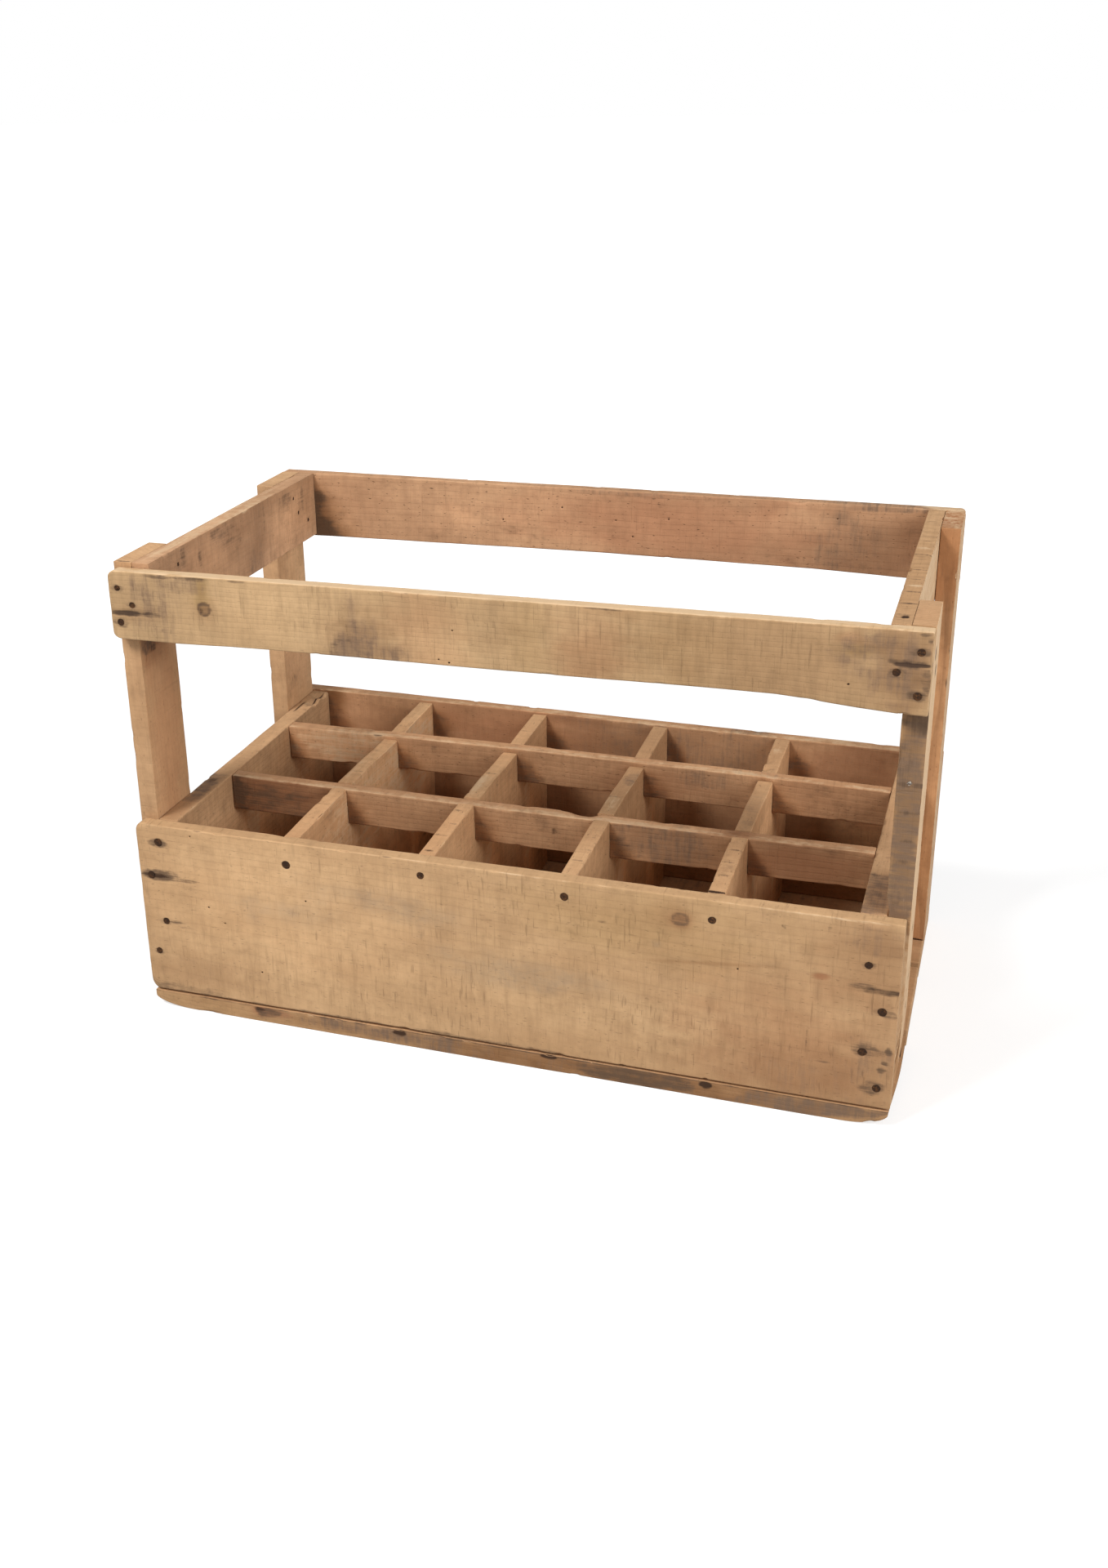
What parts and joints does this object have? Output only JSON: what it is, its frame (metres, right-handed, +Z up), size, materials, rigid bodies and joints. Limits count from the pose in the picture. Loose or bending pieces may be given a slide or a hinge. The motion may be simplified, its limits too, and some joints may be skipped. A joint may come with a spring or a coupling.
{
  "type": "wooden bottle crate",
  "caption": "Old nailed wooden bottle crate: a low box with a grid of open cells, and corner posts that carry a rail frame above it, with hand gaps on every side.",
  "frame": {"origin": "middle of the footprint on the ground, under the floor boards", "axes": "+X along the crate to the right as seen from the front, +Y from front to back, +Z up"},
  "size_m": [0.539, 0.292, 0.339],
  "materials": {
    "crate_wood": "rough-sawn softwood, aged, worn and stained",
    "nail_steel": "dark rust"
  },
  "bodies": {
    "root": {"front_rail": "crate_wood", "back_rail": "crate_wood", "left_end_rail": "crate_wood", "right_end_rail": "crate_wood", "front_board": "crate_wood", "back_board": "crate_wood", "left_end_board": "crate_wood", "right_end_board": "crate_wood", "front_left_post": "crate_wood", "front_right_post": "crate_wood", "back_left_post": "crate_wood", "back_right_post": "crate_wood", "cross_divider_1": "crate_wood", "cross_divider_2": "crate_wood", "cross_divider_3": "crate_wood", "cross_divider_4": "crate_wood", "long_divider_front": "crate_wood", "long_divider_back": "crate_wood", "floor_board_front": "crate_wood", "floor_board_middle": "crate_wood", "floor_board_back": "crate_wood", "front_rail_nails": "nail_steel", "back_rail_nails": "nail_steel", "front_board_nails": "nail_steel", "back_board_nails": "nail_steel", "front_divider_nails": "nail_steel", "back_divider_nails": "nail_steel", "left_rail_nails": "nail_steel", "right_rail_nails": "nail_steel", "left_board_nails": "nail_steel", "right_board_nails": "nail_steel", "long_divider_nails": "nail_steel", "floor_nails": "nail_steel", "stray_nail": "nail_steel"}
  },
  "joints": []
}
